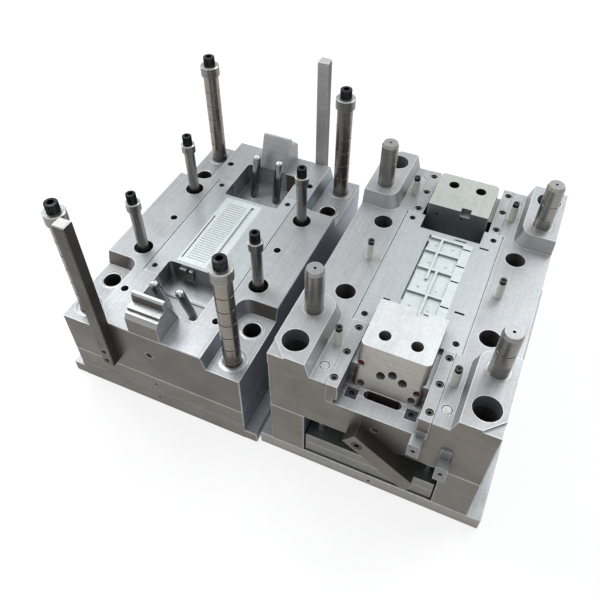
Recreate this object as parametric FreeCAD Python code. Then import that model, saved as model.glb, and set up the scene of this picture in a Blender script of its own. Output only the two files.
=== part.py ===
import FreeCAD, Part
import math
import os

# Three-plate mould, opened like a book: both halves lie side by side, parting faces up.
# Every half is described from the front-left lower corner of its main plates:
# X runs along the front edge, Y goes to the back, Z goes up.

os.makedirs("parts", exist_ok=True)

# Plate sizes shared by both halves
width = 346.0
length = 546.0
flange = 23.0
edge_ease = 1.2
middle_x = width / 2
middle_y = length / 2

# Heights of the fixed half (the one with the long pins)
a_clamp_top = 40.0
a_flange_top = 25.0
stripper_top = 83.0
a_top = 202.0

# Heights of the moving half
b_clamp_top = 30.0
riser_top = 138.0
b_top = 253.0

# Corner pads: raised on the moving half, lowered by as much on the fixed half
pad_step = 27.0
pad_root_x = 68.0
pad_root_y = 146.0
pad_lean = 8.0
pad_corner_radius = 22.0
pry_leg = 28.0
pry_depth = 4.0
a_pad = a_top - pad_step
b_pad = b_top + pad_step

# The two halves and the pull bars give the outer box, whose middle is the origin
gap_between_halves = 5.0
half_shift_x = -(width + 2 * flange + gap_between_halves)
half_shift_y = -6.0
bar_depth = 20.0
origin_x = -(half_shift_x - flange + width + flange) / 2
origin_y = -(half_shift_y - bar_depth + half_shift_y + length + bar_depth) / 2
place_b = FreeCAD.Vector(origin_x, origin_y, 0)
place_a = FreeCAD.Vector(origin_x + half_shift_x, origin_y + half_shift_y, 0)

# Pins, bores and screws that both halves share
corner_x = 30.0
support_y = 36.0
pillar_y = 105.0
limit_y = 180.0
puller_y = 78.0
pin_radius = 15.0
pillar_fit_radius = 17.0
running_gap = 0.05
seat_gap = 0.3

# Slider, gibs and the pocket that takes the slider
slider_half = 54.0
channel_half = 61.0
gib_width = 18.0
gib_end = 131.0
ledge_z = 209.0
foot_reach = 6.0
foot_height = 12.0
slider_front_top = 70.0
slider_back_top = 166.0
slider_height = 280.0
heel_slope = math.tan(math.radians(20.0))
finger_slope = math.tan(math.radians(15.0))
finger_x = 25.0
finger_y = 98.0
finger_radius = 8.0
finger_bore = 9.5
slider_stroke = 38.0
insert_half_x = 89.0
insert_depth = 60.0
channel_x0 = middle_x - channel_half
channel_x1 = middle_x + channel_half
gib_x0 = channel_x0 - gib_width
gib_x1 = channel_x1 + gib_width
insert_x0 = middle_x - insert_half_x
insert_x1 = middle_x + insert_half_x
insert_y0 = gib_end
insert_y1 = length - gib_end
limit_x = insert_x0 - 30
puller_x = gib_x0 - 12
puller_mid_x = insert_x0 - 22
return_x = gib_x0 - 14


def vec(x, y, z):
    return FreeCAD.Vector(x, y, z)


def block(x0, x1, y0, y1, z0, z1):
    return Part.makeBox(x1 - x0, y1 - y0, z1 - z0, vec(x0, y0, z0))


def rod(x, y, z0, z1, radius):
    return Part.makeCylinder(radius, z1 - z0, vec(x, y, z0))


def cone(x, y, z0, z1, radius_low, radius_high):
    return Part.makeCone(radius_low, radius_high, z1 - z0, vec(x, y, z0))


def rod_y(x, z, y0, y1, radius):
    return Part.makeCylinder(radius, y1 - y0, vec(x, y0, z), vec(0, 1, 0))


def rod_x(y, z, x0, x1, radius):
    return Part.makeCylinder(radius, x1 - x0, vec(x0, y, z), vec(1, 0, 0))


def hexagon(x, y, z0, z1, radius):
    points = [vec(x + radius * math.cos(math.radians(60 * i)),
                  y + radius * math.sin(math.radians(60 * i)), z0) for i in range(7)]
    return Part.Face(Part.makePolygon(points)).extrude(vec(0, 0, z1 - z0))


def profile_yz(points, x0, x1):
    corners = [vec(x0, y, z) for y, z in points]
    face = Part.Face(Part.makePolygon(corners + corners[:1]))
    return face.extrude(vec(x1 - x0, 0, 0))


def mirror_y(shape):
    return shape.mirror(vec(0, middle_y, 0), vec(0, 1, 0))


def mirror_x(shape):
    return shape.mirror(vec(middle_x, 0, 0), vec(1, 0, 0))


def four(shape):
    back = mirror_y(shape)
    return [shape, mirror_x(shape), back, mirror_x(back)]


def rounded(x0, x1, y0, y1, z0, z1, radius):
    solid = block(x0, x1, y0, y1, z0, z1)
    upright = [e for e in solid.Edges if abs(e.BoundBox.ZLength - (z1 - z0)) < 0.001]
    return solid.makeFillet(radius, upright)


def eased(solid, size):
    box = solid.BoundBox
    outer = []
    for edge in solid.Edges:
        b = edge.BoundBox
        on_x = b.XLength < 0.001 and (abs(b.XMin - box.XMin) < 0.001 or abs(b.XMax - box.XMax) < 0.001)
        on_y = b.YLength < 0.001 and (abs(b.YMin - box.YMin) < 0.001 or abs(b.YMax - box.YMax) < 0.001)
        on_z = b.ZLength < 0.001 and (abs(b.ZMin - box.ZMin) < 0.001 or abs(b.ZMax - box.ZMax) < 0.001)
        if on_x + on_y + on_z > 1:
            outer.append(edge)
    return solid.makeChamfer(size, outer)


def save(name, shapes, place):
    if not isinstance(shapes, list):
        shapes = [shapes]
    solids = []
    for shape in shapes:
        for solid in shape.Solids:
            moved = solid.copy()
            moved.translate(place)
            solids.append(moved)
    result = solids[0] if len(solids) == 1 else Part.Compound(solids)
    result.exportStep("parts/" + name + ".step")


def pad_outline(reach_x, reach_y, z, overhang):
    r = pad_corner_radius
    bend = math.sqrt(0.5) * r
    a = vec(-overhang, -overhang, z)
    b = vec(reach_x, -overhang, z)
    c = vec(reach_x, reach_y - r, z)
    middle = vec(reach_x - r + bend, reach_y - r + bend, z)
    d = vec(reach_x - r, reach_y, z)
    e = vec(-overhang, reach_y, z)
    edges = [Part.makeLine(a, b), Part.makeLine(b, c), Part.Arc(c, middle, d).toShape(),
             Part.makeLine(d, e), Part.makeLine(e, a)]
    return Part.Wire(edges)


def pad_body(root_z, tip_z, overhang):
    root = pad_outline(pad_root_x, pad_root_y, root_z, overhang)
    tip = pad_outline(pad_root_x - pad_lean, pad_root_y - pad_lean, tip_z, overhang)
    return Part.makeLoft([root, tip], True, True)


# Socket head screw: a cylinder head with a hexagon socket and its shank
def socket_screw(x, y, top, head_radius, head_height, shank_radius, shank_length):
    head = rod(x, y, top - head_height, top, head_radius)
    shank = rod(x, y, top - head_height - shank_length, top - head_height, shank_radius)
    socket = hexagon(x, y, top - head_height * 0.55, top + 1, head_radius * 0.55)
    return head.fuse(shank).removeSplitter().cut(socket)


def socket_screw_y(x, z, front, head_radius, head_height, shank_radius, shank_length):
    screw = socket_screw(0, 0, 0, head_radius, head_height, shank_radius, shank_length)
    screw.rotate(vec(0, 0, 0), vec(1, 0, 0), 90)
    screw.translate(vec(x, front, z))
    return screw


# Fixed half: clamp plate with a low flange at both ends
corner_centres = [(corner_x, support_y), (width - corner_x, support_y),
                  (corner_x, length - support_y), (width - corner_x, length - support_y)]
pillar_centres = [(corner_x, pillar_y), (width - corner_x, pillar_y),
                  (corner_x, length - pillar_y), (width - corner_x, length - pillar_y)]
limit_centres = [(limit_x, limit_y), (width - limit_x, limit_y),
                 (limit_x, length - limit_y), (width - limit_x, length - limit_y)]
puller_centres = [(puller_x, puller_y), (width - puller_x, puller_y),
                  (puller_mid_x, middle_y), (width - puller_mid_x, middle_y),
                  (puller_x, length - puller_y), (width - puller_x, length - puller_y)]
limit_radius = 10.0
pin_head_radius = 19.0
pin_head_height = 8.0
limit_head_radius = 14.0
stripper_screw_x = 110.0
stripper_screw_y = 40.0
stripper_screw_radius = 8.0
stripper_screw_head = 12.0
stripper_screw_head_height = 10.0
stripper_stroke = 10.0
stripper_centres = [(stripper_screw_x, stripper_screw_y), (width - stripper_screw_x, stripper_screw_y),
                    (stripper_screw_x, length - stripper_screw_y),
                    (width - stripper_screw_x, length - stripper_screw_y)]
face_hole_radius = 3.5
face_hole_depth = 18.0
face_hole_x = middle_x - 4
clamp_face_hole_z = 21.0
stripper_face_hole_z = 62.0
stripper_side_hole_y = 30.0
stripper_side_hole_z = 67.0

clamp_lower = block(-flange, width + flange, 0, length, 0, a_flange_top)
clamp_upper = block(0, width, 0, length, 0, a_clamp_top)
a_clamp = eased(clamp_lower, edge_ease).fuse(clamp_upper).removeSplitter()
for x, y in corner_centres:
    a_clamp = a_clamp.cut(rod(x, y, -1, a_clamp_top + 1, pin_radius))
    a_clamp = a_clamp.cut(rod(x, y, -1, pin_head_height, pin_head_radius))
for x, y in limit_centres:
    a_clamp = a_clamp.cut(rod(x, y, -1, a_clamp_top + 1, limit_radius))
    a_clamp = a_clamp.cut(rod(x, y, -1, pin_head_height, limit_head_radius))
for x, y in stripper_centres:
    a_clamp = a_clamp.cut(rod(x, y, -1, a_clamp_top + 1, stripper_screw_radius + 0.5))
    a_clamp = a_clamp.cut(rod(x, y, -1, 2 + stripper_screw_head_height + stripper_stroke + seat_gap,
                              stripper_screw_head + 1))
a_clamp = a_clamp.cut(rod_y(face_hole_x, clamp_face_hole_z, -1, face_hole_depth, face_hole_radius))
save("a_clamp_plate", a_clamp, place_a)

# Runner stripper plate, loose between clamp plate and cavity plate
stripper = eased(block(0, width, 0, length, a_clamp_top, stripper_top), edge_ease)
for x, y in corner_centres:
    stripper = stripper.cut(rod(x, y, a_clamp_top - 1, stripper_top + 1, pin_radius + running_gap))
for x, y in limit_centres:
    stripper = stripper.cut(rod(x, y, a_clamp_top - 1, stripper_top + 1, limit_radius + 0.5))
stripper_thread_depth = 24.0
for x, y in stripper_centres:
    stripper = stripper.cut(rod(x, y, a_clamp_top - 1, a_clamp_top + stripper_thread_depth,
                                stripper_screw_radius))
stripper = stripper.cut(rod_y(face_hole_x, stripper_face_hole_z, -1, face_hole_depth, face_hole_radius))
stripper = stripper.cut(rod_x(stripper_side_hole_y, stripper_side_hole_z, width - face_hole_depth, width + 1,
                              face_hole_radius))
save("runner_stripper_plate", stripper, place_a)

stripper_screws = []
for x, y in stripper_centres:
    head = rod(x, y, 2, 2 + stripper_screw_head_height, stripper_screw_head)
    shank = rod(x, y, 2, a_clamp_top + stripper_thread_depth, stripper_screw_radius)
    socket = hexagon(x, y, 1, 8, 7)
    stripper_screws.append(head.fuse(shank).removeSplitter().cut(socket))
save("stripper_limit_screws", stripper_screws, place_a)

# Cavity plate: the thick plate, with its four corners lowered around the guide bores
bushing_radius = 24.0
guide_bushing_radius = 21.0
limit_well_radius = 18.0
limit_shoulder_z = 131.7
puller_hole_radius = 7.0
puller_hole_depth = 45.0
pocket_x0 = middle_x - 56
pocket_x1 = middle_x + 60
pocket_y0 = 62.0
pocket_y1 = 170.0
pocket_floor = 160.0
pocket_radius = 7.0
pocket_step_y = 126.0
pocket_step = 3.0
wedge_half = 30.0
wedge_slot_front = 15.0
wedge_back = 60.0
flare_x = pad_root_x + 33
flare_y = 42.0
water_radius = 6.6
water_depth = 26.0
water_x = middle_x - 1
water_z = 151.0
core_y0 = 178.0
core_y1 = length - core_y0
core_length = core_y1 - core_y0
core_low_x = middle_x - 45
core_high_x = middle_x + 32
seam_width = 2.0
seam_depth = 3.0
insert_screw_x = insert_x0 + 15
insert_screw_y = 148.0
insert_centres = [(x, y) for x in [insert_screw_x, width - insert_screw_x]
                  for y in [insert_screw_y, length - insert_screw_y]]
insert_head_radius = 5.5
insert_head_height = 7.0
insert_shank_radius = 3.0
insert_head_sunk = 3.0
insert_screw_bite = 10.0
bar_x0 = 81.0
bar_width = 21.5
bar_low = 104.0
bar_high = 430.0
bar_screw_heights = [117.0, 141.0]
bar_head_radius = 6.0
bar_head_height = 7.0
bar_shank_radius = 4.0
bar_shank_length = 30.0
finger_low = pocket_floor - 55
finger_tip_z = 246.0


# Axis of an angle pin or of its hole, front side, passing the parting side of the slider
def finger_rod(x, y_at_slider, z_at_slider, z0, z1, radius, direction):
    y0 = y_at_slider - direction * (z0 - z_at_slider) * finger_slope
    tilt = vec(0, -direction * finger_slope, 1)
    run = (z1 - z0) * math.sqrt(1 + finger_slope ** 2)
    return Part.makeCylinder(radius, run, vec(x, y0, z0), tilt)


a_slider_z = a_top - pad_step
finger_xs = [middle_x - finger_x, middle_x + finger_x]
front_pocket = rounded(pocket_x0, pocket_x1, pocket_y0, pocket_y1, pocket_floor, a_top + 10, pocket_radius)
front_strip = rounded(pocket_x0, pocket_x1, pocket_y0, pocket_step_y + pocket_radius,
                      pocket_floor - pocket_step, pocket_floor + 1, pocket_radius)
front_pocket = front_pocket.fuse(front_strip.cut(block(0, width, pocket_step_y, length, 0, a_top)))
wedge_slot = block(middle_x - wedge_half, middle_x + wedge_half, wedge_slot_front, pocket_y0 + 1,
                   pocket_floor, a_top + 10)
front_pocket = front_pocket.fuse(wedge_slot)
back_pocket = mirror_y(front_pocket)
insert_pocket_a = block(insert_x0, insert_x1, insert_y0, insert_y1, a_top - insert_depth, a_top + 1)

a_plate = eased(block(0, width, 0, length, stripper_top, a_top), edge_ease)
pad_cut = pad_body(a_top, a_pad, 5)
for cut in four(pad_cut):
    a_plate = a_plate.cut(cut)
flare = Part.Face(Part.makePolygon([vec(pad_root_x - pad_lean, -1, a_pad), vec(flare_x, -1, a_pad),
                                    vec(flare_x, 0, a_pad), vec(pad_root_x - pad_lean, flare_y, a_pad),
                                    vec(pad_root_x - pad_lean, -1, a_pad)])).extrude(vec(0, 0, pad_step + 1))
a_plate = a_plate.cut(flare)
for cut in [front_pocket, back_pocket, insert_pocket_a]:
    a_plate = a_plate.cut(cut)
for x, y in corner_centres:
    a_plate = a_plate.cut(rod(x, y, stripper_top - 1, a_top + 1, bushing_radius))
for x, y in pillar_centres:
    a_plate = a_plate.cut(rod(x, y, stripper_top - 1, a_top + 1, guide_bushing_radius))
for x, y in limit_centres:
    a_plate = a_plate.cut(rod(x, y, stripper_top - 1, a_top + 1, limit_radius + 0.5))
    a_plate = a_plate.cut(rod(x, y, limit_shoulder_z, a_top + 1, limit_well_radius))
for x, y in puller_centres:
    a_plate = a_plate.cut(rod(x, y, a_top - puller_hole_depth, a_top + 1, puller_hole_radius))
for x in finger_xs:
    hole = finger_rod(x, finger_y, a_slider_z, finger_low, pocket_floor + 5, finger_radius, 1)
    a_plate = a_plate.cut(hole).cut(mirror_y(hole))
a_plate = a_plate.cut(rod_y(water_x, water_z, -1, water_depth, water_radius))
bar_hole_depth = bar_shank_length - bar_depth + bar_head_height
for z in bar_screw_heights:
    hole = rod_y(bar_x0 + bar_width / 2, z, -1, bar_hole_depth, bar_shank_radius)
    a_plate = a_plate.cut(hole)
    a_plate = a_plate.cut(mirror_x(mirror_y(hole)))
for x, y in insert_centres:
    a_plate = a_plate.cut(rod(x, y, a_top - insert_depth - insert_screw_bite, a_top - insert_depth + 1,
                              insert_shank_radius))
save("a_plate", a_plate, place_a)


# Insert frame with a window for the core; its ends are open where the slider pockets cut in
def insert_frame(top, core_x0, core_x1, cuts):
    low = top - insert_depth
    head_low = top - insert_head_sunk - insert_head_height
    frame = block(insert_x0, insert_x1, insert_y0, insert_y1, low, top)
    frame = frame.cut(block(core_x0, core_x1, core_y0, core_y1, low - 1, top + 1))
    for cut in cuts:
        frame = frame.cut(cut)
    for x0, x1 in [(insert_x0 - 1, insert_x0 + seam_width), (insert_x1 - seam_width, insert_x1 + 1)]:
        frame = frame.cut(block(x0, x1, insert_y0 - 1, insert_y1 + 1, top - seam_depth, top + 1))
    for x, y in insert_centres:
        frame = frame.cut(rod(x, y, low - 1, top + 1, insert_shank_radius))
        frame = frame.cut(rod(x, y, head_low, top + 1, insert_head_radius))
    return frame


def insert_screws(top):
    sunk = top - insert_head_sunk
    reach = insert_depth + insert_screw_bite - insert_head_sunk - insert_head_height
    return [socket_screw(x, y, sunk, insert_head_radius, insert_head_height, insert_shank_radius, reach)
            for x, y in insert_centres]


save("a_insert_frame", insert_frame(a_top, core_low_x, core_high_x, [front_pocket, back_pocket]), place_a)
save("insert_screws_a", insert_screws(a_top), place_a)

# Fixed-half core: fine cross ribs between two long side runners
rib_pitch = 6.0
rib_width = 1.4
rib_depth = 0.9
runner_width = 12.0
rib_end = 12.0
side_groove = 3.0
side_groove_end = 8.0
a_core = block(core_low_x, core_high_x, core_y0, core_y1, a_top - insert_depth, a_top)
groove_y = core_y0 + rib_end
while groove_y < core_y1 - rib_end:
    a_core = a_core.cut(block(core_low_x + runner_width, core_high_x - 2 * runner_width,
                              groove_y, groove_y + rib_width, a_top - rib_depth, a_top + 1))
    groove_y += rib_pitch
a_core = a_core.cut(block(core_high_x - 1.5 * runner_width, core_high_x - runner_width,
                          core_y0 + side_groove_end, core_y1 - side_groove_end,
                          a_top - side_groove, a_top + 1))
a_core = a_core.cut(block(core_low_x + side_groove, core_low_x + 2 * side_groove, core_y0 + side_groove_end,
                          core_y0 + 0.7 * core_length, a_top - side_groove, a_top + 1))
save("a_core", a_core, place_a)

# Support pins: long round guides with oil grooves, a stop collar and a screw on the top
groove_heights = [186.0 + 30.5 * i for i in range(6)]
collar_low = 372.0
collar_high = 394.0
collar_radius = 18.5
support_screw_top = 411.0
support_screw_head = 11.0
support_thread = 6.0
thread_bite = 30.0
oil_groove = 3.0
oil_groove_depth = 1.2
support_pins = []
support_collars = []
support_screws = []
support_bushings = []
for x, y in corner_centres:
    pin = rod(x, y, 0, collar_low, pin_radius)
    pin = pin.fuse(rod(x, y, 0, pin_head_height, pin_head_radius)).removeSplitter()
    pin = pin.cut(rod(x, y, collar_low - thread_bite, collar_low + 1, support_thread))
    for z in groove_heights:
        ring = rod(x, y, z, z + oil_groove, pin_radius + 1)
        pin = pin.cut(ring.cut(rod(x, y, z, z + oil_groove, pin_radius - oil_groove_depth)))
    support_pins.append(pin)
    collar = rod(x, y, collar_low, collar_high, collar_radius)
    collar = collar.makeChamfer(1.5, collar.Edges)
    collar = collar.cut(rod(x, y, collar_low - 1, collar_high + 1, support_thread))
    support_collars.append(collar)
    support_screws.append(socket_screw(x, y, support_screw_top, support_screw_head,
                                       support_screw_top - collar_high, support_thread,
                                       collar_high - collar_low + thread_bite))
    bushing = rod(x, y, stripper_top, a_pad, bushing_radius)
    bushing = bushing.cut(rod(x, y, stripper_top - 1, a_pad + 1, pin_radius + running_gap))
    support_bushings.append(bushing)
save("support_pins", support_pins, place_a)
save("support_collars", support_collars, place_a)
save("support_screws", support_screws, place_a)
save("support_bushings", support_bushings, place_a)

# Guide bushings that take the pillars of the other half
guide_bushings = []
for x, y in pillar_centres:
    bushing = rod(x, y, stripper_top, a_pad, guide_bushing_radius)
    bushing = bushing.cut(rod(x, y, stripper_top - 1, a_pad + 1, pin_radius + running_gap))
    bushing = bushing.cut(cone(x, y, a_pad - 2, a_pad + 0.5, pin_radius, pin_radius + 2.5))
    guide_bushings.append(bushing)
save("guide_bushings", guide_bushings, place_a)

# Limit bolts: thin bolts whose collars stop the cavity plate when it is drawn away
limit_collar_low = 292.0
limit_collar_high = 310.0
limit_collar_radius = 13.3
limit_screw_top = 328.0
limit_screw_head = 9.0
limit_thread = 4.0
limit_bite = 24.0
limit_bolts = []
limit_collars = []
limit_screws = []
for x, y in limit_centres:
    bolt = rod(x, y, 0, limit_collar_low, limit_radius)
    bolt = bolt.fuse(rod(x, y, 0, pin_head_height, limit_head_radius)).removeSplitter()
    tapped = rod(x, y, limit_collar_low - limit_bite, limit_collar_low + 1, limit_thread)
    limit_bolts.append(bolt.cut(tapped))
    collar = rod(x, y, limit_collar_low, limit_collar_high, limit_collar_radius)
    collar = collar.makeChamfer(1.2, collar.Edges).cut(rod(x, y, 0, limit_collar_high + 1, limit_thread))
    limit_collars.append(collar)
    limit_screws.append(socket_screw(x, y, limit_screw_top, limit_screw_head,
                                     limit_screw_top - limit_collar_high, limit_thread,
                                     limit_collar_high - limit_collar_low + limit_bite))
save("limit_bolts", limit_bolts, place_a)
save("limit_collars", limit_collars, place_a)
save("limit_screws", limit_screws, place_a)


# Angle pins: round bars leaning outwards by fifteen degrees, with a ball end
def angle_pins(side):
    pins = []
    for x in finger_xs:
        top = finger_tip_z - finger_radius
        pin = finger_rod(x, finger_y, a_slider_z, finger_low, top, finger_radius, 1)
        tip_y = finger_y - (top - a_slider_z) * finger_slope
        ball = Part.makeSphere(finger_radius, vec(x, tip_y, top))
        pin = pin.fuse(ball).removeSplitter()
        pins.append(pin if side == "front" else mirror_y(pin))
    return pins


save("angle_pins_front", angle_pins("front"), place_a)
save("angle_pins_back", angle_pins("back"), place_a)

# Stepped wedge blocks that lock the sliders: low steps outside, tall nose inside
wedge_step_z = 244.0
wedge_step_2_z = 250.0
wedge_nose_z = 268.0
nose_front = 28.5
nose_back = wedge_back - (wedge_nose_z - a_top) * heel_slope
wedge_profile = [(0, a_top), (0, wedge_step_z - 8), (6, wedge_step_z), (11, wedge_step_z),
                 (13, wedge_step_2_z), (nose_front - 1, wedge_step_2_z), (nose_front, wedge_nose_z - 3),
                 (nose_front + 3, wedge_nose_z), (nose_back, wedge_nose_z), (wedge_back, a_top),
                 (wedge_back, pocket_floor), (wedge_slot_front, pocket_floor), (wedge_slot_front, a_top)]
wedge = profile_yz(wedge_profile, middle_x - wedge_half, middle_x + wedge_half)
save("wedge_front", wedge, place_a)
save("wedge_back", mirror_y(wedge), place_a)

# Small notched key on the back wall of the front pocket
key_x0 = middle_x - 34
key_x1 = middle_x - 8
key_low = 170.0
key_high = 194.0
key_reach = 5.5
key_notch = 6.0
key = block(key_x0, key_x1, pocket_y1 - key_reach, pocket_y1, key_low, key_high)
key_notch_x = (key_x0 + key_x1 + key_notch) / 2 - key_notch / 2
key = key.cut(block(key_notch_x, key_notch_x + key_notch, pocket_y1 - key_reach - 1, pocket_y1 + 1,
                    (key_low + key_high) / 2, key_high + 1))
save("pocket_key", key, place_a)

# Pull bars: square bars screwed upright to the front and back faces
pull_bar = block(bar_x0, bar_x0 + bar_width, -bar_depth, 0, bar_low, bar_high)
pull_bar = pull_bar.makeChamfer(1.5, [e for e in pull_bar.Edges if e.BoundBox.ZMin > bar_high - 0.001
                                      or (e.BoundBox.ZLength > 50 and e.BoundBox.YMax < -1)])
bar_screws = []
for z in bar_screw_heights:
    x = bar_x0 + bar_width / 2
    pull_bar = pull_bar.cut(rod_y(x, z, -bar_depth - 1, -bar_depth + bar_head_height + 1, bar_head_radius))
    pull_bar = pull_bar.cut(rod_y(x, z, -bar_depth - 1, 1, bar_shank_radius))
    bar_screws.append(socket_screw_y(x, z, -bar_depth + 1, bar_head_radius, bar_head_height,
                                     bar_shank_radius, bar_shank_length - 1))
save("pull_bar_front", pull_bar, place_a)
save("pull_bar_back", mirror_x(mirror_y(pull_bar)), place_a)
save("pull_bar_screws", bar_screws + [mirror_x(mirror_y(s)) for s in bar_screws], place_a)

# Moving half: clamp plate and the two risers beside the ejector plates
riser_width = return_x - 20
support_well = 21.0
riser_well = 22.0
limit_well = 17.0
riser_limit_well = 18.0
support_well_floor = 34.0
limit_well_floor = 118.0
clamp_hole_z = 13.0
clamp_hole_x = middle_x + 7
b_clamp = eased(block(-flange, width + flange, 0, length, 0, b_clamp_top), edge_ease)
b_clamp = b_clamp.cut(rod_y(clamp_hole_x, clamp_hole_z, -1, face_hole_depth, face_hole_radius))
save("b_clamp_plate", b_clamp, place_b)
riser = eased(block(0, riser_width, 0, length, b_clamp_top, riser_top), edge_ease)
for x, y in corner_centres:
    if x < middle_x:
        riser = riser.cut(rod(x, y, support_well_floor, riser_top + 1, riser_well))
for x, y in limit_centres:
    if x < middle_x:
        riser = riser.cut(rod(x, y, limit_well_floor, riser_top + 1, riser_limit_well))
save("b_riser_left", riser, place_b)
save("b_riser_right", mirror_x(riser), place_b)

# Ejector plates with return pins and ejector pins between two plates
button_height = 3.5
button_radius = 11.0
button_x = return_x + 10
button_y = 60.0
ejector_base_z = b_clamp_top + button_height
ejector_split_z = ejector_base_z + 25.0
ejector_top_z = ejector_split_z + 21.5
ejector_side_gap = 2.0
ejector_end_gap = 3.0
return_y = 30.0
return_tip = 1.5
return_radius = 8.0
return_head = 12.0
return_head_height = 6.0
eject_radius = 3.0
eject_head = 5.5
eject_head_height = 5.0
eject_xs = [middle_x - 15, middle_x + 15]
eject_ys = [core_y0 + share * core_length for share in [0.1, 0.34, 0.66, 0.9]]
return_centres = [(return_x, return_y), (width - return_x, return_y),
                  (return_x, length - return_y), (width - return_x, length - return_y)]
eject_centres = [(x, y) for x in eject_xs for y in eject_ys]
button_centres = [(x, y) for x in [button_x, width - button_x]
                  for y in [button_y, middle_y, length - button_y]]
buttons = [rod(x, y, b_clamp_top, ejector_base_z, button_radius) for x, y in button_centres]
save("rest_buttons", buttons, place_b)
ejector_x0 = riser_width + ejector_side_gap
ejector_x1 = width - ejector_x0
ejector_base = eased(block(ejector_x0, ejector_x1, ejector_end_gap, length - ejector_end_gap,
                           ejector_base_z, ejector_split_z), edge_ease)
save("ejector_base_plate", ejector_base, place_b)
retainer = eased(block(ejector_x0, ejector_x1, ejector_end_gap, length - ejector_end_gap,
                       ejector_split_z, ejector_top_z), edge_ease)
for x, y in return_centres:
    retainer = retainer.cut(rod(x, y, ejector_split_z - 1, ejector_top_z + 1, return_radius))
    retainer = retainer.cut(rod(x, y, ejector_split_z - 1, ejector_split_z + return_head_height,
                                return_head))
for x, y in eject_centres:
    retainer = retainer.cut(rod(x, y, ejector_split_z - 1, ejector_top_z + 1, eject_radius))
    retainer = retainer.cut(rod(x, y, ejector_split_z - 1, ejector_split_z + eject_head_height, eject_head))
save("ejector_retainer_plate", retainer, place_b)


def headed_pin(x, y, top, radius, head, head_height):
    pin = rod(x, y, ejector_split_z, top, radius)
    return pin.fuse(rod(x, y, ejector_split_z, ejector_split_z + head_height, head)).removeSplitter()


core_floor = b_top - 4.0
return_pins = []
for x, y in return_centres:
    pin = headed_pin(x, y, b_top - return_tip, return_radius, return_head, return_head_height)
    tip = cone(x, y, b_top - return_tip, b_top, return_radius, return_radius - return_tip)
    return_pins.append(pin.fuse(tip).removeSplitter())
save("return_pins", return_pins, place_b)
save("ejector_pins", [headed_pin(x, y, core_floor, eject_radius, eject_head, eject_head_height)
                      for x, y in eject_centres], place_b)

# Moving plate: raised corner pads, slider channels front and back, insert pocket in the middle
slot_half = 30.0
slot_y0 = 28.0
slot_y1 = 43.0
slot_floor = 156.0
sleeve_radius = 6.75
sleeve_low = b_top - 20
stop_half = 9.5
stop_x = 47.0
stop_y = 28.5
stop_depth = 12.0
stop_hole = 5.0
gib_screw_ys = [16.0, 67.0, 118.0]
gib_head = 6.5
gib_head_height = 7.0
gib_shank = 3.5
gib_screw_inset = 7.0
gib_screw_reach = 55.0
pillar_base = riser_top
pillar_tip = 368.0
latch_x = middle_x - 15
latch_z = 160.0
latch_bolt = 6.0
latch_bolt_depth = 20.0
face_water_x = middle_x + 3
face_water_z = 178.0

b_plate = eased(block(0, width, 0, length, riser_top, b_top), edge_ease)
pad = pad_body(b_top, b_pad, 0)
lower_rim = block(0, pad_root_x, 0, pad_root_y - pad_corner_radius, b_top - edge_ease, b_top)
pad = pad.fuse(lower_rim)
pry = Part.Face(Part.makePolygon([vec(-1, -1, b_pad - pry_depth), vec(pry_leg, -1, b_pad - pry_depth),
                                  vec(-1, pry_leg, b_pad - pry_depth), vec(-1, -1, b_pad - pry_depth)]))
pad = pad.cut(pry.extrude(vec(0, 0, pry_depth + 1)))
for raised in four(pad):
    b_plate = b_plate.fuse(raised)
b_plate = b_plate.removeSplitter()
channel = block(gib_x0, gib_x1, -1, gib_end, ledge_z, b_top + 1)
obround = rounded(middle_x - slot_half, middle_x + slot_half, slot_y0, slot_y1, slot_floor, ledge_z + 1,
                  (slot_y1 - slot_y0) / 2 - 0.01)
for cut in [channel, obround]:
    b_plate = b_plate.cut(cut).cut(mirror_y(cut))
b_plate = b_plate.cut(block(insert_x0, insert_x1, insert_y0, insert_y1, b_top - insert_depth, b_top + 1))
for x, y in corner_centres:
    b_plate = b_plate.cut(rod(x, y, riser_top - 1, b_pad + 1, support_well))
for x, y in limit_centres:
    b_plate = b_plate.cut(rod(x, y, riser_top - 1, b_pad + 1, limit_well))
for x, y in pillar_centres:
    b_plate = b_plate.cut(rod(x, y, riser_top - 1, b_pad + 1, pillar_fit_radius))
    b_plate = b_plate.cut(rod(x, y, riser_top - 1, riser_top + pin_head_height, pin_head_radius))
for x, y in puller_centres:
    b_plate = b_plate.cut(rod(x, y, sleeve_low, b_pad + 1, sleeve_radius))
for x, y in return_centres:
    b_plate = b_plate.cut(rod(x, y, riser_top - 1, b_pad + 1, return_radius + running_gap))
for x, y in eject_centres:
    b_plate = b_plate.cut(rod(x, y, riser_top - 1, b_top + 1, eject_radius + running_gap))
for x, y in insert_centres:
    b_plate = b_plate.cut(rod(x, y, b_top - insert_depth - insert_screw_bite, b_top, insert_shank_radius))
stop_cut = block(middle_x - stop_x - stop_half, middle_x - stop_x + stop_half, stop_y - stop_half,
                 stop_y + stop_half, ledge_z - stop_depth, ledge_z + 1)
for cut in four(stop_cut):
    b_plate = b_plate.cut(cut)
gib_screw_centres = []
for y in gib_screw_ys:
    for x in [gib_x0 + gib_screw_inset, gib_x1 - gib_screw_inset]:
        gib_screw_centres.append((x, y))
        gib_screw_centres.append((x, length - y))
for x, y in gib_screw_centres:
    b_plate = b_plate.cut(rod(x, y, b_top - gib_screw_reach - gib_head_height - 2, ledge_z + 1, gib_shank))
b_plate = b_plate.cut(rod_y(latch_x, latch_z, -1, latch_bolt_depth, latch_bolt))
b_plate = b_plate.cut(rod_y(face_water_x, face_water_z, -1, water_depth, water_radius))

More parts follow.
